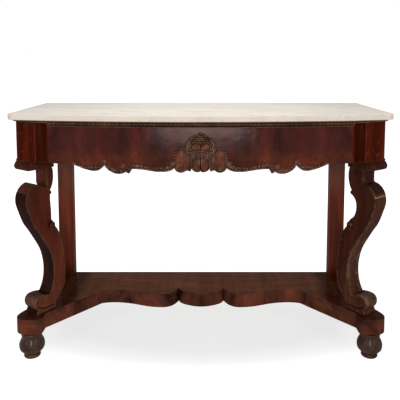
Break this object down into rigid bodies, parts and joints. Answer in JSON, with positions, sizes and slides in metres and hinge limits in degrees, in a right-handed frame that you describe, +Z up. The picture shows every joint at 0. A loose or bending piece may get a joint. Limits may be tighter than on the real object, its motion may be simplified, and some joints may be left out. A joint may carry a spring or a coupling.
{
  "type": "pier table",
  "caption": "Long narrow wall table with a bowed marble top, a scalloped frieze with carved edging, scroll legs, flat rear posts and a serpentine platform on turned feet.",
  "frame": {"origin": "on the floor under the middle of the table", "axes": "+Z up, +X to the right of someone facing the table, -Y the bowed front, +Y the straight back that stands against a wall"},
  "size_m": [1.3706, 0.5549, 0.914],
  "materials": {
    "marble": "honed white marble with faint grey veins",
    "mahogany_veneer": "dark red-brown crotch mahogany veneer, old shellac polish",
    "carved_mahogany": "solid dark mahogany, sawn, carved and turned, worn polish",
    "secondary_wood": "unfinished pine gone brown",
    "screw_iron": "dark iron"
  },
  "bodies": {
    "root": {"marble_top": "marble", "cornice_front": "carved_mahogany", "cornice_return_left": "carved_mahogany", "cornice_return_right": "carved_mahogany", "cornice_corner_left": "carved_mahogany", "cornice_corner_right": "carved_mahogany", "cornice_side_left": "carved_mahogany", "cornice_side_right": "carved_mahogany", "frieze_front": "mahogany_veneer", "cartouche": "carved_mahogany", "apron_carving_left": "carved_mahogany", "apron_carving_right": "carved_mahogany", "corner_block_left": "mahogany_veneer", "corner_block_right": "mahogany_veneer", "side_rail_left": "mahogany_veneer", "side_rail_right": "mahogany_veneer", "back_rail": "secondary_wood", "batten_left": "secondary_wood", "batten_right": "secondary_wood", "frieze_glue_blocks": "secondary_wood", "capital_left": "carved_mahogany", "capital_right": "carved_mahogany", "leg_left": "carved_mahogany", "leg_right": "carved_mahogany", "leg_dowels": "secondary_wood", "post_left": "mahogany_veneer", "post_right": "mahogany_veneer", "post_screws": "screw_iron", "platform_board": "mahogany_veneer", "platform_front_rail": "mahogany_veneer", "platform_back_rail": "secondary_wood", "platform_stretcher": "secondary_wood", "arm_left": "mahogany_veneer", "arm_right": "mahogany_veneer", "rear_block_left": "secondary_wood", "rear_block_right": "secondary_wood", "platform_glue_blocks": "secondary_wood", "foot_front_left": "carved_mahogany", "foot_front_right": "carved_mahogany", "foot_rear_left": "carved_mahogany", "foot_rear_right": "carved_mahogany"}
  },
  "joints": []
}
